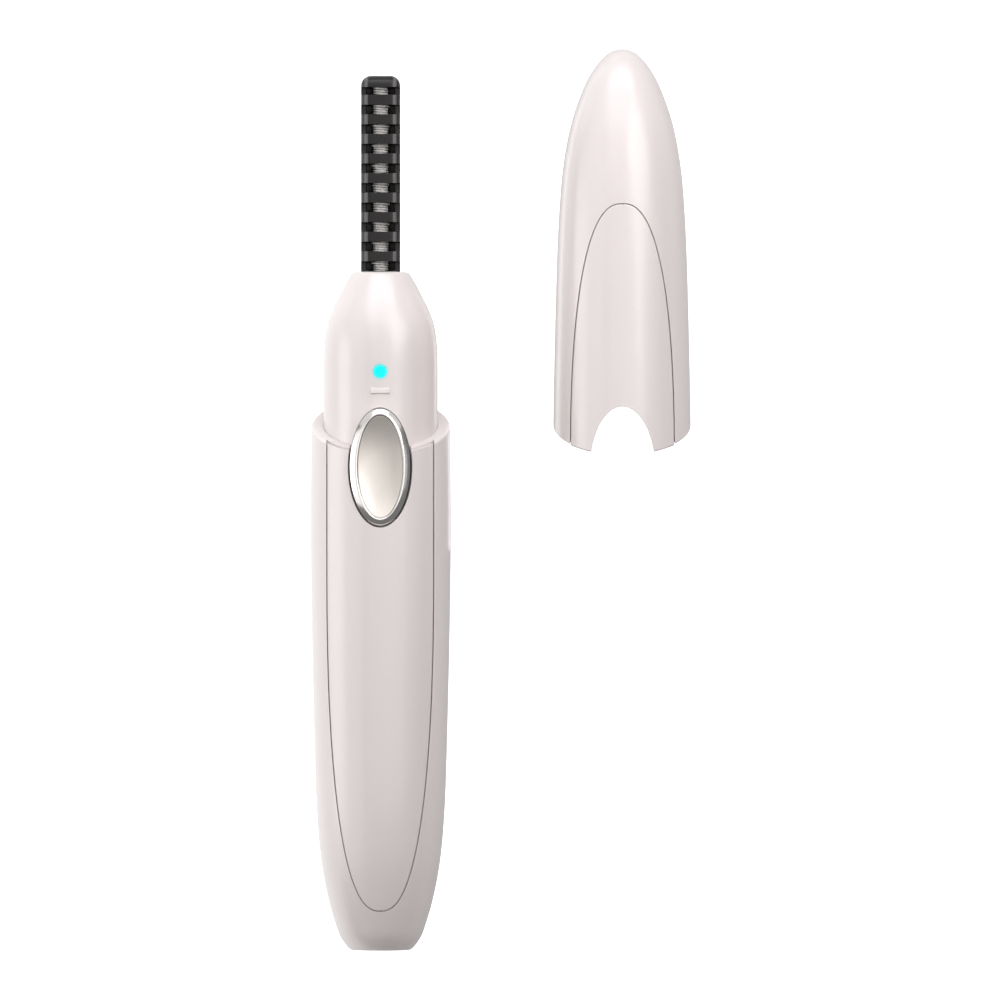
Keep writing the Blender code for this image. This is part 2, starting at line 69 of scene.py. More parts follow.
CAD_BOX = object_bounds()

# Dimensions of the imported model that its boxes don't give
RIM_Y = 78.75
RIM_SLANT = math.radians(22)
CAP_RIM_Y = 78.45
CAP_AXIS_Z = -0.19
ARCH_Y = 71.92
ARCH_HALF_WIDTH = 4.89
ARCH_HALF_LENGTH = 9.54
NECK_RADIUS = 8.55
SLIP_GAP = 0.3
TRIM_GAP = 0.15
PANEL_THICKNESS = 0.55
BEZEL_WIDTH = 1.05
BEZEL_FLOOR_Z = (6.2, 6.8)
BUTTON_UNDERSIDE_Z = 9.0
PLUNGER_RADIUS = 1.3
PANEL_EXPONENT = 2.45
BAR_COUNT = 9
BAR_PITCH = 2.932
BAR_HEIGHT = 1.5
TOP_BAR_Y = 127.47
WINDOW_HALF_WIDTH = 2.2
WINDOW_FLOOR_Z = -1.6
RAIL_TOP_Z = 1.35
HEATER_BORE_RADIUS = 1.45
HEATER_BORE_END_Y = 129.2
SHELL_BORE_RADIUS = 8.85
HANDLE_BORE_TOP_Y = 64.0
HANDLE_RIM_START_Y = 66.0
CAP_BORE_END_Y = 86.0
CAP_RIM_START_Y = 88.0
NECK_STRAIGHT_Y = (86.0, 78.0, 70.0, 64.0)

HANDLE_OUTLINE = (
    (96.0, 10.10), (80.0, 10.38), (72.0, 10.49), (64.0, 10.54), (56.0, 10.48),
    (46.5, 10.33), (37.5, 10.13), (29.5, 9.92), (22.5, 9.68), (16.5, 9.27),
    (12.5, 8.80), (9.0, 8.15), (6.0, 7.42), (3.6, 6.68), (1.7, 5.90), (0.6, 5.10),
    (0.0, 4.60),
)
CAP_OUTLINE = (
    (135.15, 0.0), (135.0, 1.0), (134.55, 2.0), (133.8, 2.9), (132.4, 4.05),
    (130.5, 5.2), (128.0, 6.28), (124.5, 7.45), (121.0, 8.25), (117.0, 8.88),
    (112.0, 9.32), (104.0, 9.72), (95.0, 9.98), (85.0, 10.20), (74.0, 10.36),
    (64.0, 10.45),
)
NECK_OUTLINE = (
    (101.7, 4.2), (100.8, 4.76), (99.0, 5.74), (97.3, 6.62), (95.8, 7.32),
    (94.2, 7.90), (92.4, 8.28), (90.4, 8.48), (88.2, NECK_RADIUS), (84.0, NECK_RADIUS),
)
HANDLE_CAVITY = (
    (2.2, 0.0), (2.2, 4.3), (4.3, 5.4), (7.5, 6.6), (11.0, 7.35), (16.0, 8.0),
    (23.0, 8.4), (32.0, 8.65), (45.0, SHELL_BORE_RADIUS),
)
CAP_CAVITY = (
    (89.0, SHELL_BORE_RADIUS), (94.0, 8.62), (102.0, 8.35), (110.0, 8.0), (117.0, 7.45),
    (122.5, 6.65), (126.5, 5.6), (129.5, 4.3), (131.6, 2.7), (132.4, 0.0),
)
NECK_INSIDE = (
    (58.3, NECK_RADIUS), (58.3, 7.7), (56.8, 7.7), (56.8, NECK_RADIUS),
    (55.0, NECK_RADIUS), (55.0, 7.25), (89.5, 7.25), (92.4, 6.95), (95.0, 6.3),
    (97.5, 5.25), (99.2, 4.35), (100.2, 3.95), (100.2, 0.0),
)
# straight_y is where a panel's rows turn to the slanted rim, far_y is beyond that rim
HANDLE_PANEL = {
    "half_width": 8.0, "length": 52.5, "centre_y": 58.5, "towards": -1,
    "straight_y": 58.5, "far_y": 90.0,
}
CAP_PANEL = {
    "half_width": 7.8, "length": 39.75, "centre_y": 72.0, "towards": +1,
    "straight_y": 86.0, "far_y": 66.0,
}

SEAM = 0.05                # half the fine gap round a let-in panel
SEAM_ROUNDING = 0.18
POCKET_DEPTHS = (-1.5, PANEL_THICKNESS + TRIM_GAP)
OUTER_ROUND = 0.45         # roundings of the slanted rims, outside and inside
INNER_ROUND = 0.06
FOOT_ROUND = 0.45          # height of the rounding at the handle's flat end
NECK_ROUND = (0.5, 0.45)   # rounding of the neck's end, across and along
FLANK_SHARE = 0.72         # of the bezel's width taken by its outer flank
FLANK_SLOPES = (42, 28)    # degrees, at the flank's foot and at its top
INNER_SLOPE = 22
DISH_SADDLE = 0.62         # how much lower the button's flanks lie than its ends
DISH_HOLLOW = 0.48         # further down to its middle
BUTTON_CLEARANCE = 0.04    # the button fills its bezel
LIP_RADIUS = 8.57          # the sleeve's rim closes round the neck

NOTCH_Z = (2.0, 14.0)      # heights between which each hole is cut
BEZEL_HOLE_Z = (2.0, 12.0)
LENS_HOLE_Z = (4.0, 12.0)
COMB_HOLE_Y = (96.0, 106.0)
BEZEL_HOLE_GAP = 0.08
LENS_HOLE_GAP = 0.03
COMB_HOLE_GAP = 0.06

BUTTON_EDGE = 0.2          # width and depth of the button's rounded edge
BUTTON_EDGE_DROP = 0.03
SPRING_RADIUS = 2.1
SPRING_TURNS = 3.5
SPRING_WIRE_RADIUS = 0.16
SPRING_END_GAP = 0.25

MARK_LOW = (-1.42, 83.2, 8.0)
MARK_HIGH = (1.42, 84.25, 8.6)
MARK_LEAN_Z = 8.4          # the mark leans back above this height,
MARK_LEAN = (0.24, 0.14)   # by this much along Y and up, per millimetre below its top
LENS_DOME = 0.12

COMB_SIDE_GAP = 0.06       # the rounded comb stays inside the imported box
COMB_ROUNDING = 1.45
TOP_WINDOW_LENGTH = 1.15
WINDOW_ROUNDING = 0.12
BAR_ROUNDING = 0.22
WINDING_START_Y = 97.6
WINDING_END_GAP = 0.1
WINDING_PITCH = 0.375
WINDING_RADIUS = 1.0
WIRE_RADIUS = 0.155
SWELL = 0.30               # how far the winding stands out in each window
SWELL_DROP = 0.22          # below the window's upper edge
SWELL_LENGTH = 0.13

STEPS = 192                # round the shells
OVAL_STEPS = 144           # round the bezel and the button
WIRE_TURN_STEPS = 20
SPRING_STEPS = 120
BEZEL_STEPS = 20           # across the bezel
DISH_STEPS = 28
PANEL_COLUMNS = 40
PANEL_TIP_ROWS = 70
PANEL_STRAIGHT_ROWS = 14
PANEL_TIP_CROWDING = 2.2   # how much closer the rows lie at the panel's tip
PANEL_TANGENT_STEP = 0.02
OUTLINE_TOLERANCE = 0.012  # a point this near an outline lies on it

LED_CYAN = (0.0, 0.86, 0.95)
# Painted glow of the lamp on the neck plastic: the cyan tint laid into its colour, the reach of
# the glow and the strength of its emission
GLOW_TINT = (0.12, 0.55, 0.56)
GLOW_RADIUS = 1.6
GLOW_POWER = 0.22
PEARL_BASE = (0.690, 0.640, 0.625)
PEARL_DEEP = (0.655, 0.600, 0.588)
CHROME = (0.84, 0.825, 0.81)
CHROME_HAZE = (0.79, 0.77, 0.75)


def centre_of(node):
    """Middle of a CAD node's box, in millimetres."""
    low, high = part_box(node)
    return (low + high) / (2 * MM)


def half_of(node):
    """Half the size of a CAD node's box, in millimetres."""
    low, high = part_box(node)
    return (high - low) / (2 * MM)


CAP_AXIS = (centre_of("cap_shell").x, CAP_AXIS_Z)
OVAL_Y = centre_of("button_bezel").y
OVAL_HALF_WIDTH = half_of("button_bezel").x
OVAL_HALF_LENGTH = half_of("button_bezel").y
BEZEL_TOP_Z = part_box("button_bezel")[1].z / MM
BUTTON_RIM_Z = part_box("power_button")[1].z / MM
PLUNGER_END_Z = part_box("power_button")[0].z / MM
LENS_Y = centre_of("led_lens").y
LENS_RADIUS = half_of("led_lens").x
LENS_TOP_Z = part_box("led_lens")[1].z / MM
LENS_BOTTOM_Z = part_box("led_lens")[0].z / MM
FLOOR_Z = CAD_BOX[0].z


# ---- shapes


class Outline:
    """A smooth radius along the axis, as a natural cubic spline through (y, radius).

    With a tip, it runs over the square root of the distance to it, so the nose is round.
    """

    def __init__(self, points, tip=None):
        self.tip = tip
        self.low_y = min(y for y, _ in points)
        self.high_y = max(y for y, _ in points)
        knots = sorted((self.place(y), radius) for y, radius in points)
        self.places = np.array([knot[0] for knot in knots])
        self.radii = np.array([knot[1] for knot in knots])
        spans = np.diff(self.places)
        rises = np.diff(self.radii) / spans
        count = len(knots)
        system = np.eye(count)
        right = np.zeros(count)
        for i in range(1, count - 1):
            system[i, i - 1:i + 2] = spans[i - 1], 2 * (spans[i - 1] + spans[i]), spans[i]
            right[i] = 6 * (rises[i] - rises[i - 1])
        self.bends = np.linalg.solve(system, right)

    def place(self, y):
        """The spline's own coordinate of a height."""
        if self.tip is None:
            return y
        return -math.sqrt(max(self.tip - y, 0.0))

    def both(self, y):
        """Radius and its slope over the spline's own coordinate."""
        at = min(max(self.place(y), self.places[0]), self.places[-1])
        i = int(min(np.searchsorted(self.places, at, "right") - 1, len(self.places) - 2))
        span = self.places[i + 1] - self.places[i]
        a = (self.places[i + 1] - at) / span
        b = 1 - a
        low, high = self.bends[i], self.bends[i + 1]
        radius = a * self.radii[i] + b * self.radii[i + 1]
        radius += ((a ** 3 - a) * low + (b ** 3 - b) * high) * span ** 2 / 6
        slope = (self.radii[i + 1] - self.radii[i]) / span
        slope += (-(3 * a ** 2 - 1) * low + (3 * b ** 2 - 1) * high) * span / 6
        return radius, slope

    def radius(self, y):
        """Radius at a height."""
        return self.both(y)[0]

    def normal(self, x, y, z):
        """Outward normal of the turned surface at a point given from its axis."""
        slope = self.both(y)[1]
        out = Vector((x, 0, z)).normalized()
        if self.tip is not None:
            out = out * 2 * math.sqrt(max(self.tip - y, 0.0))
        return Vector((out.x, -slope, out.z)).normalized()


handle_line = Outline(HANDLE_OUTLINE)
cap_line = Outline(CAP_OUTLINE, tip=CAP_OUTLINE[0][0])
neck_line = Outline(NECK_OUTLINE)


def spread(low, high, count, power=1.0):
    """Values from low to high, closer together at low when power is above 1."""
    return [low + (high - low) * (i / count) ** power for i in range(count + 1)]


def bend(start, corner, end, count=6):
    """Points of a soft corner between start and end, both included."""
    points = []
    for i in range(count + 1):
        t = i / count
        points.append(tuple(
            (1 - t) ** 2 * s + 2 * t * (1 - t) * c + t ** 2 * e
            for s, c, e in zip(start, corner, end)
        ))
    return points


def new_piece(name, verts, faces):
    """An object from points in millimetres, welded, with its normals outwards."""
    mesh = bpy.data.meshes.new(name)
    mesh.from_pydata([(x * MM, y * MM, z * MM) for x, y, z in verts], [], faces)
    work = bmesh.new()
    work.from_mesh(mesh)
    bmesh.ops.remove_doubles(work, verts=work.verts, dist=0.0000005)
    bmesh.ops.dissolve_degenerate(work, edges=work.edges, dist=0.0000002)
    bmesh.ops.recalc_face_normals(work, faces=work.faces)
    work.to_mesh(mesh)
    work.free()
    piece = bpy.data.objects.new(name, mesh)
    bpy.context.scene.collection.objects.link(piece)
    return piece


def skin(name, rings, closed=False):
    """Faces between rings of points; open ends are filled unless they are poles."""
    count = max(len(ring) for ring in rings)
    full = [ring if len(ring) > 1 else ring * count for ring in rings]
    verts = [point for ring in full for point in ring]
    faces = []
    pairs = [(i, i + 1) for i in range(len(full) - 1)]
    if closed:
        pairs.append((len(full) - 1, 0))
    for low, high in pairs:
        for i in range(count):
            j = (i + 1) % count
            faces.append((low * count + i, low * count + j, high * count + j, high * count + i))
    if not closed:
        if len(rings[0]) > 1:
            faces.append(tuple(range(count))[::-1])
        if len(rings[-1]) > 1:
            last = (len(full) - 1) * count
            faces.append(tuple(range(last, last + count)))
    return new_piece(name, verts, faces)


def shade(piece, angle=30):
    """Smooth shading, with the edges sharper than angle kept."""
    piece.data.shade_smooth()
    piece.data.set_sharp_from_angle(angle=math.radians(angle))


def turned_ring(axis, radius, height, steps=STEPS):
    """A ring round an axis (x, z). radius and height may depend on the angle."""
    ring = []
    for i in range(steps):
        angle = 2 * math.pi * i / steps
        r = radius(angle) if callable(radius) else radius
        y = height(angle) if callable(height) else height
        ring.append((axis[0] + r * math.sin(angle), y, axis[1] + r * math.cos(angle)))
    return ring


def rim_height(crossing, radius, angle):
    """Height of the slanted rim plane at a radius and an angle."""
    return crossing - radius * math.cos(angle) * math.tan(RIM_SLANT)


def rim_meets(line, crossing, angle):
    """Height at which the slanted rim plane meets an outline."""
    y = crossing
    for _ in range(5):
        y = rim_height(crossing, line.radius(y), angle)
    return y


def rim_rings(axis, line, crossing, into, start_y, inner_radius, inner_y, wall_radius):
    """Rings from start_y over the rounded rim and back along the inner wall.

    into is -1 when the piece lies below the rim plane, +1 when it lies above. The rim's
    inner edge is at inner_radius, and the wall behind it at wall_radius.
    """
    rings = []

    for share in spread(0, 1, 9)[1:]:
        def wall(angle):
            edge = rim_meets(line, crossing, angle) + into * OUTER_ROUND
            return start_y + (edge - start_y) * share

        rings.append(turned_ring(axis, lambda a: line.radius(wall(a)), wall))

    def corner(angle):
        edge = rim_meets(line, crossing, angle)
        radius = line.radius(edge)
        start = (line.radius(edge + into * OUTER_ROUND), edge + into * OUTER_ROUND)
        end = (radius - OUTER_ROUND, rim_height(crossing, radius - OUTER_ROUND, angle))
        return bend(start, (radius, edge), end, 7)

    def lip(angle):
        edge = rim_height(crossing, inner_radius, angle)
        outer = inner_radius + INNER_ROUND
        start = (outer, rim_height(crossing, outer, angle))
        end = (inner_radius, edge + into * INNER_ROUND)
        return bend(start, (inner_radius, edge), end, 4)

    for part, steps in ((corner, range(1, 8)), (lip, range(5))):
        for step in steps:
            rings.append(turned_ring(axis, lambda a: part(a)[step][0], lambda a: part(a)[step][1]))
    for share, radius in ((0.2, inner_radius), (0.25, wall_radius), (1.0, wall_radius)):
        rings.append(turned_ring(
            axis, radius, lambda a: lip(a)[-1][1] + (inner_y - lip(a)[-1][1]) * share,
        ))
    return rings


def plain_rings(axis, line, heights):
    """Rings of an outline at the given heights."""
    return [turned_ring(axis, line.radius(y), y) for y in heights]


def profile_rings(axis, profile):
    """Rings of (y, radius) points, with a single point where the radius is 0."""
    rings = []
    for y, radius in profile:
        if radius == 0:
            rings.append([(axis[0], y, axis[1])])
        else:
            rings.append(turned_ring(axis, radius, y))
    return rings


def panel_half_width(shape, grow, y):
    """Half the width of a U outline at a height."""
    reach = (y - shape["centre_y"]) * shape["towards"] / (shape["length"] + grow)
    if reach <= 0:
        return shape["half_width"] + grow
    if reach >= 1:
        return 0.0
    share = (1 - reach ** PANEL_EXPONENT) ** (1 / PANEL_EXPONENT)
    return (shape["half_width"] + grow) * share


def shield(name, axis, line, shape, grow, depths, rounding, crossing, far_y=None):
    """A plate curved with an outline, inside a U outline.

    depths are its outer and inner faces below the outline. It ends on the slanted rim,
    or at far_y. rounding softens its outer edges.
    """
    towards = shape["towards"]
    straight_y = shape["straight_y"]
    tip_y = shape["centre_y"] + towards * (shape["length"] + grow)
    fillet = [rounding * s for s in (0.0, 0.12, 0.3, 0.55, 1.0)] if rounding else [0.0]
    inner = [i / PANEL_COLUMNS * 2 - 1 for i in range(PANEL_COLUMNS + 1)]

    def end_height(x):
        if far_y is not None:
            return far_y
        y = crossing
        for _ in range(5):
            radius = line.radius(y)
            z = math.sqrt(max(radius ** 2 - x ** 2, 0))
            y = crossing - z * math.tan(RIM_SLANT)
        return y

    def surface(x, y, depth):
        radius = line.radius(y) - depth
        z = math.sqrt(max(radius ** 2 - x ** 2, 0.01))
        return (axis[0] + x, y, axis[1] + z)

    # Curved part of the U, from its tip to straight_y: (border x, border y, inward x, inward y)
    borders = []
    reach = abs(straight_y - tip_y)
    for i in range(PANEL_TIP_ROWS + 1):
        share = (i / PANEL_TIP_ROWS) ** PANEL_TIP_CROWDING
        y = tip_y - towards * reach * share
        x = panel_half_width(shape, grow, y)
        if i == 0:
            borders.append((0.0, y, 0.0, -towards))
            continue
        back = towards * PANEL_TANGENT_STEP * share
        nearer = panel_half_width(shape, grow, y + back)
        along = Vector((x - nearer, -back)).normalized()
        inward = Vector((-abs(along.y), -towards * abs(along.x)))
        borders.append((x, y, inward.x, inward.y))

    rows = []
    for x, y, nx, ny in borders:
        right = []
        for d in fillet:
            drop = rounding - math.sqrt(max(rounding ** 2 - (rounding - d) ** 2, 0))
            right.append((max(x + nx * d, 0.0), y + ny * d, drop))
        left = [(-px, py, drop) for px, py, drop in right]
        edge_x, edge_y, _ = right[-1]
        middle = [(s * edge_x, edge_y, 0.0) for s in inner[1:-1]]
        rows.append(left + middle + right[::-1])

    # Straight part, from straight_y to the end
    border_end = end_height(panel_half_width(shape, grow, crossing))
    shares = spread(0, 1, PANEL_STRAIGHT_ROWS)[1:]
    rim_steps = fillet[::-1] if rounding else [0.0]
    for number, share in enumerate(shares):
        last = number == len(shares) - 1
        for rim_d in (rim_steps if last else [None]):
            border_y = straight_y + share * (border_end - straight_y)
            half = panel_half_width(shape, grow, border_y)
            row = []
            places = [(-1, d) for d in fillet] + [(s, None) for s in inner[1:-1]]
            places += [(1, d) for d in fillet[::-1]]
            for s, d in places:
                x = s * (half - (fillet[-1] if d is None else d))
                end = end_height(x)
                stop = end + towards * fillet[-1]
                y = straight_y + share * (stop - straight_y)
                if rim_d is not None:
                    y = end + towards * rim_d
                a = 0.0 if d is None or not rounding else 1 - d / rounding
                b = 0.0 if rim_d is None or not rounding else 1 - rim_d / rounding
                drop = rounding * (1 - math.sqrt(max(1 - a * a - b * b, 0)))
                row.append((x, y, drop))
            rows.append(row)

    width = len(rows[0])
    verts = []
    for row in rows:
        verts += [surface(x, y, depths[0] + drop) for x, y, drop in row]
    for row in rows:
        verts += [surface(x, y, depths[1]) for x, y, drop in row]
    lower = len(rows) * width
    faces = []
    for i in range(len(rows) - 1):
        for j in range(width - 1):
            a = i * width + j
            faces.append((a, a + 1, a + width + 1, a + width))
            faces.append((lower + a, lower + a + width, lower + a + width + 1, lower + a + 1))
        for j in (0, width - 1):
            a = i * width + j
            faces.append((a, a + width, lower + a + width, lower + a))
    for i in (0, len(rows) - 1):
        for j in range(width - 1):
            a = i * width + j
            faces.append((a, a + 1, lower + a + 1, lower + a))
    return new_piece(name, verts, faces)


def oval_ring(half_width, half_length, z, centre=(0.0, OVAL_Y), steps=OVAL_STEPS):
    """A level ellipse, round the button's centre unless another is given."""
    return [
        (
            centre[0] + half_width * math.cos(2 * math.pi * i / steps),
            centre[1] + half_length * math.sin(2 * math.pi * i / steps),
            z,
        )
        for i in range(steps)
    ]


def brick(name, low, high, rounding, segments):
    """A box between two corners, with rounded edges."""
    verts = [(x, y, z) for x in (low[0], high[0]) for y in (low[1], high[1])
             for z in (low[2], high[2])]
    faces = [(0, 1, 3, 2), (4, 6, 7, 5), (0, 4, 5, 1), (2, 3, 7, 6), (0, 2, 6, 4), (1, 5, 7, 3)]
    piece = new_piece(name, verts, faces)
    bevel = piece.modifiers.new("rounding", "BEVEL")
    bevel.width = rounding * MM
    bevel.segments = segments
    bevel.limit_method = "NONE"
    settle(piece)
    return piece


def settle(piece):
    """Apply a piece's modifiers to its mesh."""
    graph = bpy.context.evaluated_depsgraph_get()
    done = bpy.data.meshes.new_from_object(piece.evaluated_get(graph))
    old = piece.data
    piece.modifiers.clear()
    piece.data = done
    done.name = piece.name
    bpy.data.meshes.remove(old)


def carve(piece, *tools):
    """Cut other pieces out of a piece; they are used up."""
    for tool in tools:
        modifier = piece.modifiers.new(tool.name, "BOOLEAN")
        modifier.object = tool
        modifier.operation = "DIFFERENCE"
        modifier.solver = "EXACT"
    bpy.context.view_layer.update()
    settle(piece)
    for tool in tools:
        bpy.data.objects.remove(tool, do_unlink=True)


def polish(piece, line, axis):
    """Give the outer face of a cut shell the exact normals of its outline."""
    shade(piece)
    mesh = piece.data
    exact = {}
    for vertex in mesh.vertices:
        x, y, z = vertex.co / MM
        x -= axis[0]
        z -= axis[1]
        depth = abs(math.hypot(x, z) - line.radius(y))
        if line.low_y <= y <= line.high_y and depth < OUTLINE_TOLERANCE:
            exact[vertex.index] = line.normal(x, y, z)
    normals = [Vector((0, 0, 0))] * len(mesh.loops)
    for face in mesh.polygons:
        if not all(index in exact for index in face.vertices):
            continue
        for loop in face.loop_indices:
            normal = exact[mesh.loops[loop].vertex_index]
            if face.normal.dot(normal) > 0.9:
                normals[loop] = normal
    mesh.normals_split_custom_set(normals)


def tube(name, points, radius, sides=10):
    """A round wire along points, with closed ends."""
    rings = []
    count = len(points)
    up = Vector((0, 0, 1))
    for i, point in enumerate(points):
        before = Vector(points[max(i - 1, 0)])
        after = Vector(points[min(i + 1, count - 1)])
        along = (after - before).normalized()
        if abs(along.dot(up)) > 0.95:
            up = Vector((1, 0, 0))
        side = along.cross(up).normalized()
        up = side.cross(along).normalized()
        rings.append([
            tuple(Vector(point) + radius * (math.cos(a) * side + math.sin(a) * up))
            for a in [2 * math.pi * k / sides for k in range(sides)]
        ])
    return skin(name, rings)


# ---- materials


class Look:
    """A Principled material with patterns laid in the object's own space."""

    def __init__(self, name, colour, roughness, metallic=0.0, **uniform):
        self.material = bpy.data.materials.new(name)
        self.material.use_nodes = True
        self.nodes = self.material.node_tree.nodes
        self.links = self.material.node_tree.links
        self.shader = self.nodes["Principled BSDF"]
        self.shader.inputs["Base Color"].default_value = (*colour, 1.0)
        self.shader.inputs["Roughness"].default_value = roughness
        self.shader.inputs["Metallic"].default_value = metallic
        for socket, value in uniform.items():
            self.shader.inputs[socket.replace("_", " ").title().replace("Ior", "IOR")
                               ].default_value = value
        self.where = self.node("ShaderNodeTexCoord").outputs["Object"]

    def node(self, kind, inputs=None, **settings):
        """A node with its settings and socket values."""
        made = self.nodes.new(kind)
        for key, value in settings.items():
            setattr(made, key, value)
        for key, value in (inputs or {}).items():
            if isinstance(value, bpy.types.NodeSocket):
                self.links.new(value, made.inputs[key])
            else:
                made.inputs[key].default_value = value
        return made

    def noise(self, size, detail=2.0, stretch=None):
        """Noise whose blobs are about size millimetres across before stretch scales them."""
        vector = self.where
        if stretch:
            mapping = self.node("ShaderNodeMapping", {"Vector": vector, "Scale": stretch})
            vector = mapping.outputs["Vector"]
        return self.node(
            "ShaderNodeTexNoise",
            {"Vector": vector, "Scale": 1 / (size * MM), "Detail": detail, "Roughness": 0.55},
        ).outputs["Fac"]

    def cells(self, size):
        """Random values in cells about size millimetres across."""
        return self.node(
            "ShaderNodeTexVoronoi", {"Vector": self.where, "Scale": 1 / (size * MM)},
        ).outputs["Color"]

    def spread(self, factor, low, high, start=0.0, end=1.0):
        """A factor from start to end, as a value from low to high."""
        return self.node(
            "ShaderNodeMapRange",
            {"Value": factor, "From Min": start, "From Max": end, "To Min": low, "To Max": high},
        ).outputs["Result"]

    def blend(self, factor, first, second):
        """A colour between two, each a colour or a socket."""
        made = self.nodes.new("ShaderNodeMix")
        made.data_type = "RGBA"
        for index, value in ((6, first), (7, second)):
            if isinstance(value, bpy.types.NodeSocket):
                self.links.new(value, made.inputs[index])
            else:
                made.inputs[index].default_value = (*value, 1.0)
        self.links.new(factor, made.inputs[0])
        return made.outputs[2]

    def set(self, socket, value):
        """Drive a socket of the shader."""
        self.links.new(value, self.shader.inputs[socket])

    def relief(self, height, depth, strength, edge):
        """Bump of a depth in millimetres over edges softened by edge millimetres."""
        inputs = {"Height": height, "Strength": strength, "Distance": depth * MM}
        if edge:
            soft = self.node("ShaderNodeBevel", {"Radius": edge * MM}, samples=6)
            inputs["Normal"] = soft.outputs[0]
        bump = self.node("ShaderNodeBump", inputs)
        self.links.new(bump.outputs[0], self.shader.inputs["Normal"])

    def maths(self, operation, first, second):
        """A Math node of two values or sockets."""
        return self.node(
            "ShaderNodeMath", {0: first, 1: second}, operation=operation,
        ).outputs[0]

    def roughen(self, factor, low, high):
        """Roughness from low to high over the middle values of a noise."""
        self.set("Roughness", self.spread(factor, low, high, 0.3, 0.7))

    def distance(self, point):
        """Distance in metres from a point given in millimetres."""
        return self.node(
            "ShaderNodeVectorMath",
            {0: self.where, 1: tuple(value * MM for value in point)}, operation="DISTANCE",
        ).outputs["Value"]

    def axis(self, index):
        """One coordinate of the object's space."""
        return self.node("ShaderNodeSeparateXYZ", {"Vector": self.where}).outputs[index]


def pearl(name, painted_glow=False, edge=0.12):
    """Satin pearl plastic: fine flake, soft gloss, nearly white, with an optional painted cyan
    glow round the lamp.
    """
    look = Look(
        name, PEARL_BASE, 0.31, specular_ior_level=0.8, coat_weight=0.4,
        coat_roughness=0.18,
    )
    flake = look.cells(0.09)
    cloud = look.noise(3.5)
    mixed = look.maths("MULTIPLY_ADD", look.noise(0.25, 3.0), 0.7)
    base = look.blend(
        look.spread(mixed, 0.0, 1.0, 0.45, 1.15), PEARL_BASE, PEARL_DEEP,
    )
    look.roughen(cloud, 0.28, 0.34)
    look.relief(look.node("ShaderNodeSeparateColor", {0: flake}).outputs[0], 0.004, 0.16, edge)
    # Painted glow: round the lamp window the pearl is tinted cyan and made to glow itself, in
    # place of the lamp's light in the plastic
    if painted_glow:
        away = look.distance((0.0, LENS_Y, LENS_TOP_Z))
        fade = look.spread(away, 1.0, 0.0, 0.9 * LENS_RADIUS * MM, GLOW_RADIUS * MM)
        base = look.blend(look.maths("POWER", fade, 2.0), base, GLOW_TINT)
        look.shader.inputs["Emission Color"].default_value = (*LED_CYAN, 1.0)
        look.set("Emission Strength", look.maths(
            "MULTIPLY", look.maths("POWER", fade, 3.0), GLOW_POWER,
        ))
    look.set("Base Color", base)
    return look.material


def chrome():
    """Bright plated ring with a trace of handling haze."""
    look = Look("bezel_chrome", CHROME, 0.16, metallic=1.0)
    haze = look.noise(1.2, 4.0)
    look.roughen(haze, 0.13, 0.20)
    look.set("Base Color", look.blend(haze, CHROME, CHROME_HAZE))
    return look.material


def button_satin():
    """Pearl-metal satin of the dished button."""
    look = Look("button_satin", (0.70, 0.66, 0.61), 0.34, metallic=0.75)
    grain = look.noise(0.12, 2.0)
    look.set("Base Color", look.blend(
        look.noise(1.8), (0.72, 0.68, 0.63), (0.68, 0.64, 0.59),
    ))
    look.roughen(grain, 0.30, 0.38)
    look.relief(grain, 0.003, 0.15, 0.05)
    return look.material


def moulded(name, colour, roughness=0.45, grain=0.3, edge=0.06, depth=0.01):
    """Moulded plastic with a fine spark-eroded grain."""
    look = Look(name, colour, roughness)
    fine = look.noise(grain, 3.0)
    lighter = tuple(min(value * 1.35 + 0.004, 1.0) for value in colour)
    look.set("Base Color", look.blend(look.noise(grain * 9), colour, lighter))
    look.roughen(fine, roughness - 0.07, roughness + 0.09)
    look.relief(fine, depth, 0.3, edge)
    return look.material


def metal(name, colour, roughness, stretch=(1, 1, 1), size=0.4, metallic=1.0):
    """Bare metal with drawn or rolled streaks."""
    look = Look(name, colour, roughness, metallic=metallic)
    streak = look.noise(size, 4.0, stretch)
    darker = tuple(value * 0.82 for value in colour)
    look.set("Base Color", look.blend(streak, darker, colour))
    look.roughen(streak, roughness - 0.06, roughness + 0.10)
    look.relief(streak, 0.004, 0.2, 0.05)
    return look.material


def lit_lens():
    """Tinted lamp window, bright in the middle and softer at its edge."""
    look = Look("led_cyan", (0.0, 0.45, 0.48), 0.3, specular_ior_level=0.2)
    away = look.distance((0.0, LENS_Y, LENS_TOP_Z))
    look.set("Emission Color", look.blend(
        look.spread(away, 0.0, 1.0, 0.6 * LENS_RADIUS * MM, LENS_RADIUS * MM),
        LED_CYAN, (0.06, 0.62, 0.64),
    ))
    look.roughen(look.noise(0.3), 0.14, 0.24)
    look.shader.inputs["Emission Strength"].default_value = 1.0
    return look.material


def circuit_board():
    """Green mask over a grid of lighter copper traces."""
    look = Look("board_green", (0.015, 0.14, 0.06), 0.35, coat_weight=0.3)
    bricks = look.node(
        "ShaderNodeTexBrick",
        {
            "Vector": look.where, "Scale": 1.0, "Mortar Size": 0.00018,
            "Brick Width": 0.0041, "Row Height": 0.0013,
        },
    ).outputs["Fac"]
    mask = look.blend(look.noise(2.0), (0.012, 0.13, 0.055), (0.02, 0.17, 0.075))
    look.set("Base Color", look.blend(bricks, mask, (0.04, 0.27, 0.12)))
    look.roughen(look.noise(0.4), 0.28, 0.42)
    look.relief(bricks, 0.03, 0.4, 0.05)
    return look.material


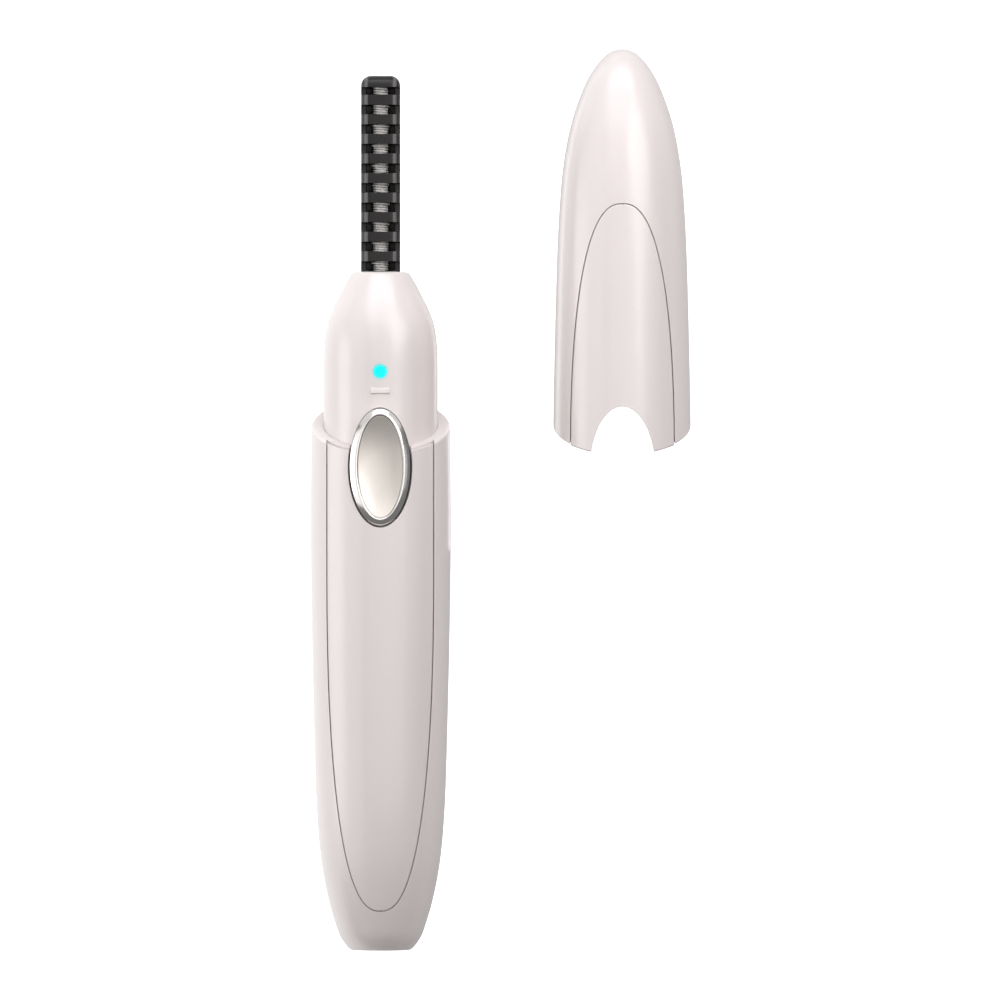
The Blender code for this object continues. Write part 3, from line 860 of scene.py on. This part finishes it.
def cell_wrap():
    """Pale shrink sleeve of the cell with green bands, over bare steel at the ends."""
    steel = (0.62, 0.62, 0.63)
    pale = (0.50, 0.52, 0.52)
    green = (0.06, 0.27, 0.20)
    sleeve = (0.012, 0.955)    # where the sleeve starts and ends, as shares of the length
    look = Look("battery_wrap", pale, 0.3, coat_weight=0.5)
    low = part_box("battery")[0].y
    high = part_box("battery")[1].y
    along = look.axis(1)
    band = look.node(
        "ShaderNodeValToRGB", {"Fac": look.spread(along, 0.0, 1.0, low, high)},
    )
    ramp = band.color_ramp
    ramp.interpolation = "CONSTANT"
    stops = (
        (sleeve[0], pale), (0.66, green), (0.68, pale), (0.71, green), (0.86, pale),
        (sleeve[1], steel),
    )
    ramp.elements.remove(ramp.elements[1])
    ramp.elements[0].color = (*steel, 1.0)
    for position, colour in stops:
        ramp.elements.new(position).color = (*colour, 1.0)
    scuff = look.noise(0.7, 5.0)
    look.set("Base Color", look.blend(
        look.spread(scuff, 0.0, 0.35, 0.62, 0.8), band.outputs["Color"], (0.5, 0.5, 0.5),
    ))
    start = look.maths("LESS_THAN", along, low + sleeve[0] * (high - low))
    end = look.maths("GREATER_THAN", along, low + sleeve[1] * (high - low))
    bare = look.maths("ADD", start, end)
    look.set("Metallic", look.maths("MAXIMUM", bare, 0.1))
    look.roughen(scuff, 0.24, 0.42)
    look.relief(scuff, 0.01, 0.15, 0.08)
    return look.material


def banded(name, base, band, centre, width, axis):
    """A small component with one band of another colour along an axis."""
    look = Look(name, base, 0.4)
    offset = look.maths("ABSOLUTE", look.maths("SUBTRACT", look.axis(axis), centre), 0.0)
    inside = look.maths("LESS_THAN", offset, width / 2)
    look.set("Base Color", look.blend(inside, base, band))
    fine = look.noise(0.2, 3.0)
    look.roughen(fine, 0.32, 0.48)
    look.relief(fine, 0.008, 0.25, 0.05)
    return look.material


def comb_black():
    """Heat-proof black nylon, with painted highlight stripes down the sides of its bars' fronts.
    """
    look = Look("comb_black", (0.010, 0.009, 0.009), 0.30, specular_ior_level=0.35)
    fine = look.noise(0.15, 3.0)
    # Painted highlight: on the bars' fronts, 1.8 to 2.5 mm either side of the middle, the black is
    # lifted to grey stripes where side light would catch the rounded bars
    side = look.maths("ABSOLUTE", look.axis(0), 0.0)
    inner = look.spread(side, 0.0, 1.0, 1.8 * MM, 2.0 * MM)
    outer = look.spread(side, 1.0, 0.0, 2.3 * MM, 2.5 * MM)
    raised = look.spread(look.axis(2), 0.0, 1.0, 1.5 * MM, 1.6 * MM)
    black = look.blend(look.noise(1.5), (0.006, 0.0055, 0.0055), (0.012, 0.0105, 0.0105))
    look.set("Base Color", look.blend(
        look.maths("MULTIPLY", look.maths("MULTIPLY", inner, outer), raised),
        black, (0.11, 0.105, 0.102),
    ))
    look.roughen(fine, 0.24, 0.36)
    look.relief(fine, 0.006, 0.2, 0.1)
    return look.material


# ---- pieces


def finish_piece(piece, body, slot, material, *nodes):
    """Dress a piece, put it on its body and hide the CAD nodes it stands for."""
    piece.data.materials.clear()
    piece.data.materials.append(material)
    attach(piece, body)
    if nodes:
        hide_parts(*nodes)


def oval_prism(name, half_width, half_length, centre, heights):
    """An upright oval block, for cutting."""
    return skin(name, [oval_ring(half_width, half_length, z, centre) for z in heights])


def let_in(shell, name, axis, line, shape, crossing, opening):
    """Cut a shell's opening and its panel's pocket, and make the panel.

    opening is the half width, half length and centre of the oval cut through both.
    """
    pocket = shield(
        "pocket", axis, line, shape, SEAM, POCKET_DEPTHS, 0.0, crossing, shape["far_y"],
    )
    carve(shell, oval_prism("opening", *opening, NOTCH_Z), pocket)
    polish(shell, line, axis)
    panel = shield(
        name, axis, line, shape, -SEAM, (0.0, PANEL_THICKNESS), SEAM_ROUNDING, crossing,
    )
    carve(panel, oval_prism("opening", *opening, NOTCH_Z))
    polish(panel, line, axis)
    return panel


def build_handle():
    """Sleeve with its rounded slanted rim, notch and panel pocket, and the panel."""
    axis = (0.0, 0.0)
    low_y, low_radius = HANDLE_OUTLINE[-1]
    foot = bend(
        (low_y, 4.2), (low_y, low_radius), (FOOT_ROUND, handle_line.radius(FOOT_ROUND)), 5,
    )
    rings = profile_rings(axis, [(low_y, 0), (low_y, 2.4)] + foot)
    rings += plain_rings(
        axis, handle_line, spread(FOOT_ROUND, HANDLE_RIM_START_Y, 70, 1.5)[1:],
    )
    rings += rim_rings(
        axis, handle_line, RIM_Y, -1, HANDLE_RIM_START_Y, LIP_RADIUS, HANDLE_BORE_TOP_Y,
        SHELL_BORE_RADIUS,
    )
    rings += profile_rings(axis, HANDLE_CAVITY[::-1])
    shell = skin("handle_sleeve", rings)
    notch = (OVAL_HALF_WIDTH + SLIP_GAP, OVAL_HALF_LENGTH + SLIP_GAP, (0.0, OVAL_Y))
    panel = let_in(shell, "front_inlay", axis, handle_line, HANDLE_PANEL, RIM_Y, notch)
    finish_piece(shell, "handle", "pearl_handle", pearl("pearl_handle"), "handle_shell")
    finish_piece(panel, "handle", "pearl_panel", pearl("pearl_panel"), "front_panel")


def build_cap():
    """Cap with its rounded slanted rim, arch and panel pocket, and the panel."""
    tip = CAP_OUTLINE[0][0]
    depths = spread(0.0, math.sqrt(tip - CAP_RIM_START_Y), 72)
    rings = [[(CAP_AXIS[0], tip, CAP_AXIS[1])]]
    rings += plain_rings(CAP_AXIS, cap_line, [tip - depth ** 2 for depth in depths[1:]])
    rings += rim_rings(
        CAP_AXIS, cap_line, CAP_RIM_Y, +1, CAP_RIM_START_Y, SHELL_BORE_RADIUS, CAP_BORE_END_Y,
        SHELL_BORE_RADIUS,
    )
    rings += profile_rings(CAP_AXIS, CAP_CAVITY)
    shell = skin("cap_cover", rings)
    arch = (ARCH_HALF_WIDTH, ARCH_HALF_LENGTH, (CAP_AXIS[0], ARCH_Y))
    panel = let_in(shell, "cap_inlay", CAP_AXIS, cap_line, CAP_PANEL, CAP_RIM_Y, arch)
    finish_piece(shell, "cap", "pearl_cap", pearl("pearl_cap"), "cap_shell")
    finish_piece(panel, "cap", "pearl_panel", pearl("pearl_cap_panel"), "cap_panel")


def build_neck():
    """Domed neck with its holes, the raised mark and the lamp window."""
    axis = (0.0, 0.0)
    top_y, top_radius = NECK_OUTLINE[0]
    across, along = NECK_ROUND
    edge_y = top_y - along
    shoulder = bend(
        (top_y, top_radius - across), (top_y, top_radius), (edge_y, neck_line.radius(edge_y)), 6,
    )
    profile = [(top_y, 0)] + shoulder
    profile += [(y, neck_line.radius(y)) for y in spread(edge_y, NECK_STRAIGHT_Y[0], 56)[1:]]
    profile += [(y, NECK_RADIUS) for y in NECK_STRAIGHT_Y[1:]]
    neck = skin("neck_dome", profile_rings(axis, profile + list(NECK_INSIDE)))
    comb = half_of("comb_guard")
    half = (comb.x + COMB_HOLE_GAP, comb.z + COMB_HOLE_GAP)
    comb_hole = brick(
        "comb_hole", (-half[0], COMB_HOLE_Y[0], -half[1]), (half[0], COMB_HOLE_Y[1], half[1]),
        rounding=1.2, segments=6,
    )
    oval_hole = oval_prism(
        "bezel_hole", OVAL_HALF_WIDTH + BEZEL_HOLE_GAP, OVAL_HALF_LENGTH + BEZEL_HOLE_GAP,
        (0.0, OVAL_Y), BEZEL_HOLE_Z,
    )
    hole = LENS_RADIUS + LENS_HOLE_GAP
    lens_hole = oval_prism("lens_hole", hole, hole, (0.0, LENS_Y), LENS_HOLE_Z)
    carve(neck, comb_hole, oval_hole, lens_hole)
    polish(neck, neck_line, axis)
    # the neck's pearl carries the painted glow round the lamp window
    material = pearl("pearl_neck", painted_glow=True)
    finish_piece(neck, "core", "pearl_neck", material, "neck_housing")

    mark = brick("raised_mark", MARK_LOW, MARK_HIGH, rounding=0.08, segments=4)
    for vertex in mark.data.vertices:
        if vertex.co.z > MARK_LEAN_Z * MM:
            lower = MARK_HIGH[1] - vertex.co.y / MM
            vertex.co.z += MARK_LEAN[1] * lower * MM
            vertex.co.y += MARK_LEAN[0] * lower * MM
    shade(mark, 60)
    finish_piece(mark, "core", "pearl_neck", pearl("pearl_mark", edge=0.05))

    centre = (0.0, LENS_Y)
    rings = [[(*centre, LENS_TOP_Z)]]
    for share in spread(0.0, 1.0, 8)[1:]:
        z = LENS_TOP_Z - LENS_DOME * share ** 2
        rings.append(oval_ring(LENS_RADIUS * share, LENS_RADIUS * share, z, centre, steps=64))
    rings.append(oval_ring(LENS_RADIUS, LENS_RADIUS, LENS_BOTTOM_Z, centre, steps=64))
    rings.append([(*centre, LENS_BOTTOM_Z)])
    lens = skin("lamp_window", rings)
    shade(lens, 50)
    finish_piece(lens, "core", "led_cyan", lit_lens(), "led_lens")


def build_button():
    """Rounded bright bezel, dished button and its return spring."""
    width = OVAL_HALF_WIDTH
    length = OVAL_HALF_LENGTH
    low, floor = BEZEL_FLOOR_Z
    hole = PLUNGER_RADIUS + SLIP_GAP
    foot_slope, top_slope = FLANK_SLOPES
    profile = [(0.0, 0.0)]
    step = BEZEL_WIDTH / BEZEL_STEPS
    for share in spread(0.0, 1.0, BEZEL_STEPS)[1:]:
        if share < FLANK_SHARE:
            slope = foot_slope + (top_slope - foot_slope) * share / FLANK_SHARE
        else:
            fall = (share - FLANK_SHARE) / (1 - FLANK_SHARE)
            slope = top_slope - (top_slope + INNER_SLOPE) * fall
        inset, rise = profile[-1]
        profile.append((inset + step, rise + step * math.tan(math.radians(slope))))
    crown = max(rise for _, rise in profile)
    rings = [oval_ring(width, length, low)]
    for inset, rise in profile:
        rings.append(oval_ring(width - inset, length - inset, BEZEL_TOP_Z + rise - crown))
    rings.append(oval_ring(width - BEZEL_WIDTH, length - BEZEL_WIDTH, floor))
    rings.append(oval_ring(hole, hole, floor))
    rings.append(oval_ring(hole, hole, low))
    bezel = skin("oval_bezel", rings, closed=True)
    shade(bezel, 40)
    finish_piece(bezel, "core", "bezel_chrome", chrome(), "button_bezel")

    width -= BEZEL_WIDTH + BUTTON_CLEARANCE
    length -= BEZEL_WIDTH + BUTTON_CLEARANCE

    def saddle(inset_ring):
        """The same ring, lower along its flanks than at its two ends."""
        return [
            (x, y, z - DISH_SADDLE * (1 - ((y - OVAL_Y) / length) ** 2))
            for x, y, z in inset_ring
        ]

    rim = BUTTON_RIM_Z
    edge = BUTTON_EDGE
    dish_z = rim - BUTTON_EDGE_DROP
    rings = [
        [(0.0, OVAL_Y, PLUNGER_END_Z)],
        oval_ring(PLUNGER_RADIUS, PLUNGER_RADIUS, PLUNGER_END_Z),
        oval_ring(PLUNGER_RADIUS, PLUNGER_RADIUS, BUTTON_UNDERSIDE_Z),
        oval_ring(width, length, BUTTON_UNDERSIDE_Z),
    ]
    for inset, z in bend((0.0, rim - edge), (0.0, rim), (edge, dish_z), 5):
        rings.append(saddle(oval_ring(width - inset, length - inset, z)))
    for share in spread(1.0, 0.0, DISH_STEPS)[1:-1]:
        z = dish_z - DISH_HOLLOW * (1 - share ** 2)
        rings.append(saddle(oval_ring((width - edge) * share, (length - edge) * share, z)))
    rings.append(saddle([(0.0, OVAL_Y, dish_z - DISH_HOLLOW)]))
    button = skin("dished_button", rings)
    shade(button, 40)
    finish_piece(button, "power_button", "button_satin", button_satin(), "power_button")

    low_z = floor + SPRING_END_GAP
    high_z = BUTTON_UNDERSIDE_Z - SPRING_END_GAP
    points = []
    for step in range(SPRING_STEPS + 1):
        angle = 2 * math.pi * SPRING_TURNS * step / SPRING_STEPS
        x = SPRING_RADIUS * math.cos(angle)
        y = OVAL_Y + SPRING_RADIUS * math.sin(angle)
        points.append((x, y, low_z + (high_z - low_z) * step / SPRING_STEPS))
    spring = tube("return_spring", points, SPRING_WIRE_RADIUS)
    shade(spring, 60)
    finish_piece(
        spring, "core", "spring_steel", metal("spring_steel_return", (0.62, 0.62, 0.63), 0.25),
        "button_spring",
    )
    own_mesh(spring)


def build_comb():
    """Comb guard with rounded bars over set-back rails, and the wound heater."""
    low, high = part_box("comb_guard")
    half = (high.x / MM - COMB_SIDE_GAP, high.z / MM)
    guard = brick(
        "comb_frame", (-half[0], low.y / MM, -half[1]), (half[0], high.y / MM, half[1]),
        rounding=COMB_ROUNDING, segments=10,
    )
    gap = BAR_PITCH - BAR_HEIGHT
    middles = [TOP_BAR_Y - BAR_PITCH * (i + 0.5) for i in range(BAR_COUNT)]
    windows = [(middle - gap / 2, middle + gap / 2) for middle in middles]
    top_edge = TOP_BAR_Y + BAR_HEIGHT / 2
    windows.append((top_edge, top_edge + TOP_WINDOW_LENGTH))
    tools = []
    for number, (bottom, top) in enumerate(windows):
        tools.append(brick(
            f"window_{number}", (-WINDOW_HALF_WIDTH, bottom, WINDOW_FLOOR_Z),
            (WINDOW_HALF_WIDTH, top, 4), rounding=WINDOW_ROUNDING, segments=2,
        ))
        tools.append(brick(
            f"set_back_{number}", (-6, bottom, RAIL_TOP_Z), (6, top, 6),
            rounding=BAR_ROUNDING, segments=3,
        ))
    bore = skin("bore", [
        turned_ring((0, 0), HEATER_BORE_RADIUS, low.y / MM - 1, steps=48),
        turned_ring((0, 0), HEATER_BORE_RADIUS, HEATER_BORE_END_Y, steps=48),
    ])
    for tool in tools + [bore]:
        carve(guard, tool)
    shade(guard, 35)
    finish_piece(guard, "core", "comb_black", comb_black(), "comb_guard")

    start = WINDING_START_Y
    end = windows[-1][1] - WINDING_END_GAP
    count = int((end - start) / WINDING_PITCH * WIRE_TURN_STEPS)
    points = []
    for step in range(count + 1):
        y = start + (end - start) * step / count
        angle = 2 * math.pi * step / WIRE_TURN_STEPS
        wide = max(
            math.exp(-((y - top + SWELL_DROP) / SWELL_LENGTH) ** 2) for _, top in windows[:-1]
        )
        radius = WINDING_RADIUS + SWELL * wide
        points.append((radius * math.cos(angle), y, radius * math.sin(angle)))
    wire = tube("heater_winding", points, WIRE_RADIUS, sides=8)
    shade(wire, 70)
    material = metal("heater_nickel", (0.95, 0.93, 0.91), 0.36, size=0.5, metallic=0.2)
    finish_piece(wire, "core", "heater_nickel", material, "heater_wire")


build_handle()
build_cap()
build_neck()
build_button()
build_comb()

# CAD nodes kept as they are, with their own finish
black_plastic = moulded("black_plastic", (0.014, 0.014, 0.016), 0.42)
rubber = moulded("black_rubber", (0.012, 0.012, 0.012), 0.68, grain=0.2, depth=0.02)
cream = moulded("cream_plastic", (0.66, 0.62, 0.54), 0.48)
ceramic = moulded("ceramic_body", (0.68, 0.66, 0.62), 0.62, grain=0.12, edge=0.0)
brass = metal("brass_contact", (0.78, 0.60, 0.32), 0.28, stretch=(1, 0.08, 1))
steel = metal("spring_steel", (0.60, 0.60, 0.61), 0.26)
red = moulded("lead_red", (0.42, 0.02, 0.018), 0.38, edge=0.0)
dark_chip = moulded("dark_chip", (0.02, 0.02, 0.022), 0.5, grain=0.12)
can_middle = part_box("capacitor")[1].z - 0.0003
can = banded("capacitor_can", (0.06, 0.07, 0.14), (0.72, 0.72, 0.73), can_middle, 0.0006, 2)
fuse_middle = centre_of("thermal_fuse").y * MM
fuse = banded("thermal_fuse_body", (0.62, 0.58, 0.50), (0.35, 0.30, 0.22), fuse_middle, 0.0008, 1)
KEPT = {
    "battery_chassis": black_plastic, "tact_switch_base": dark_chip, "comb_socket": black_plastic,
    "controller_chip": dark_chip, "resistor_left": dark_chip, "resistor_right": dark_chip,
    "grip_ring": rubber, "tact_actuator": cream, "led_chip": cream, "heater_core": ceramic,
    "thermal_fuse": fuse, "positive_contact": brass, "negative_strip": brass,
    "negative_spring": steel, "pcb_screw_upper": steel, "pcb_screw_lower": steel,
    "lead_wire_left": red, "lead_wire_right": red, "circuit_board": circuit_board(),
    "capacitor": can, "battery": cell_wrap(),
}
for node, material in KEPT.items():
    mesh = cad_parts[node].data
    mesh.materials.clear()
    mesh.materials.append(material)


# ---- studio

VIEW_CENTRE = (17.9, 67.5)
VIEW_WIDTH = 150.0
LENS = 500.0
SENSOR = 36.0
CLIP_END = 20.0            # metres
FLOOR_REACH = 3000.0
TABLE_GLOW = (0.95, 0.2)   # light the table gives off, on its left and on its right
TABLE_GLOW_EDGES = (-20, 15)
TABLE_WHITE = 0.9          # how much whiter it is to look at
STRIP_PLACE = (17, 105, -9.8)   # low, between the handle and the cap's left edge
STRIP_SIZE = (90, 9)
STRIP_POWER = 0.003
STRIP_FACING = (0.6, 0, 1)


def build_floor():
    """A wide pale table that glows a little, as a light table does."""
    reach = FLOOR_REACH
    z = FLOOR_Z / MM
    floor = new_piece(
        "table", [(-reach, -reach, z), (reach, -reach, z), (reach, reach, z), (-reach, reach, z)],
        [(0, 1, 2, 3)],
    )
    look = Look("pale_table", (0.4, 0.4, 0.4), 0.9)
    look.shader.inputs["Specular IOR Level"].default_value = 0.0
    look.shader.inputs["Emission Color"].default_value = (1.0, 1.0, 1.0, 1.0)
    seen = look.node("ShaderNodeLightPath").outputs["Is Camera Ray"]
    left, right = TABLE_GLOW_EDGES
    glow = look.spread(look.axis(0), *TABLE_GLOW, left * MM, right * MM)
    look.set("Emission Strength", look.maths(
        "ADD", glow, look.maths("MULTIPLY", seen, TABLE_WHITE),
    ))
    floor.data.materials.append(look.material)


def area_light(name, size, power, colour, place, facing):
    """A rectangular light that the camera doesn't see."""
    light = bpy.data.lights.new(name, "AREA")
    light.shape = "RECTANGLE"
    light.size, light.size_y = size[0] * MM, size[1] * MM
    light.energy = power
    light.color = colour
    lamp = bpy.data.objects.new(name, light)
    bpy.context.scene.collection.objects.link(lamp)
    lamp.location = place
    lamp.rotation_mode = "QUATERNION"
    lamp.rotation_quaternion = facing.to_track_quat("-Z", "Y")
    lamp.visible_camera = False


def softbox(name, turn, tilt, distance, size, power, colour):
    """An area light aimed at the middle of the product.

    turn is its angle from straight above towards +X, tilt its angle towards +Y.
    """
    turn = math.radians(turn)
    tilt = math.radians(tilt)
    away = Vector((math.sin(turn) * math.cos(tilt), math.sin(tilt),
                   math.cos(turn) * math.cos(tilt)))
    aim = Vector((VIEW_CENTRE[0], VIEW_CENTRE[1], 0)) * MM
    area_light(name, size, power, colour, aim + away * distance * MM, -away)


SOFTBOXES = (
    # name, turn, tilt, distance, (width, height), power, colour
    ("left_bank", -95, 0, 500, (220, 600), 0.8, (1.0, 0.99, 0.99)),
    ("left_wall", -65, 0, 600, (500, 800), 1.2, (1.0, 0.99, 0.985)),
    ("front", 10, 0, 500, (220, 600), 0.36, (1.0, 0.985, 0.98)),
    ("front_right", 35, 0, 500, (220, 600), 0.15, (1.0, 0.985, 0.98)),
    ("key", 36, 25, 350, (190, 200), 0.37, (1.0, 0.985, 0.975)),
    ("corner_left", -60, 42, 500, (330, 330), 0.2, (1.0, 0.99, 0.99)),
    ("corner_right", 60, 42, 500, (330, 330), 0.18, (1.0, 0.99, 0.99)),
    ("head_low", 0, 28, 500, (500, 250), 0.38, (1.0, 0.98, 0.975)),
    ("head", 0, 50, 500, (500, 250), 0.66, (0.96, 0.955, 1.0)),
    ("head_end", 0, 66, 500, (500, 170), 0.7, (0.94, 0.935, 1.0)),
)
AMBIENT = 0.2


def build_studio():
    """Soft lights, a pale surround and a long lens straight above."""
    for row in SOFTBOXES:
        softbox(*row)
    area_light(
        "edge_strip", STRIP_SIZE, STRIP_POWER, (1.0, 1.0, 1.0),
        Vector(STRIP_PLACE) * MM, Vector(STRIP_FACING),
    )
    world = bpy.data.worlds.new("surround")
    world.use_nodes = True
    bpy.context.scene.world = world
    nodes = world.node_tree.nodes
    links = world.node_tree.links
    seen = nodes["Background"]
    seen.inputs["Color"].default_value = (1.0, 1.0, 1.0, 1.0)
    seen.inputs["Strength"].default_value = 1.0
    fill = nodes.new("ShaderNodeBackground")
    fill.inputs["Color"].default_value = (1.0, 0.985, 0.98, 1.0)
    fill.inputs["Strength"].default_value = AMBIENT
    path = nodes.new("ShaderNodeLightPath")
    mix = nodes.new("ShaderNodeMixShader")
    links.new(path.outputs["Is Camera Ray"], mix.inputs[0])
    links.new(fill.outputs[0], mix.inputs[1])
    links.new(seen.outputs[0], mix.inputs[2])
    links.new(mix.outputs[0], nodes["World Output"].inputs[0])
    bpy.context.scene.view_settings.view_transform = "Standard"

    lens = bpy.data.cameras.new("camera")
    lens.lens = LENS
    lens.sensor_width = SENSOR
    lens.clip_end = CLIP_END
    camera = bpy.data.objects.new("camera", lens)
    bpy.context.scene.collection.objects.link(camera)
    camera.location = (
        VIEW_CENTRE[0] * MM, VIEW_CENTRE[1] * MM, VIEW_WIDTH * MM * LENS / SENSOR,
    )
    bpy.context.scene.camera = camera


build_floor()
build_studio()
